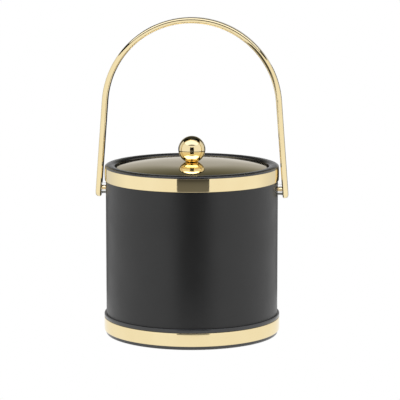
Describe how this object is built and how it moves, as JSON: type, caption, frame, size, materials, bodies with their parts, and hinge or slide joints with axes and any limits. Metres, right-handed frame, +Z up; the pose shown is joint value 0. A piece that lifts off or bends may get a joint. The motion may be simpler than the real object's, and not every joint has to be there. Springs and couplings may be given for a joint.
{
  "type": "ice bucket",
  "caption": "Insulated cylindrical ice bucket with a black covering, brass bands, a lift-off domed lid with a ball knob and a swinging bail handle.",
  "frame": {"origin": "centre of the base, on the surface that the bucket stands on", "axes": "+Z up along the bucket's axis; X along the line of the handle's two pivots; the covering's seam is at +Y, the back"},
  "size_m": [0.2066, 0.189, 0.3395],
  "materials": {
    "black_vinyl": "matte",
    "black_plastic": "satin",
    "polished_brass": "polished",
    "screw_brass": "satin",
    "clear_acrylic": "gloss",
    "white_plastic": "satin",
    "grey_plastic": "matte",
    "zinc_steel": "satin",
    "white_foam": "matte",
    "black_felt": "matte",
    "soft_seal": "matte"
  },
  "bodies": {
    "bucket": {"base_pad": "black_felt", "base_cup": "black_plastic", "base_foam": "white_foam", "outer_shell": "grey_plastic", "vinyl_wrap": "black_vinyl", "lower_band": "polished_brass", "upper_band": "polished_brass", "top_rim": "black_plastic", "inner_liner": "white_plastic", "foam_sleeve": "white_foam", "pivot_plate_left": "zinc_steel", "pivot_spacer_left": "clear_acrylic", "pivot_screw_left": "screw_brass", "pivot_plate_right": "zinc_steel", "pivot_spacer_right": "clear_acrylic", "pivot_screw_right": "screw_brass"},
    "bail": {"handle": "polished_brass"},
    "lid": {"lid_cover": "polished_brass", "lid_pan": "black_plastic", "lid_seal": "soft_seal", "lid_foam": "white_foam", "knob": "polished_brass", "knob_washer": "zinc_steel", "knob_screw": "zinc_steel"}
  },
  "joints": [
    {"name": "handle_swing", "type": "hinge", "parent": "bucket", "child": "bail", "pos_m": [0, 0, 0.1563], "axis": [1, 0, 0], "range_deg": [-143, 143]},
    {"name": "lid_lift", "type": "slide", "parent": "bucket", "child": "lid", "axis": [0, 0, 1], "range_m": [0, 0.08]}
  ]
}
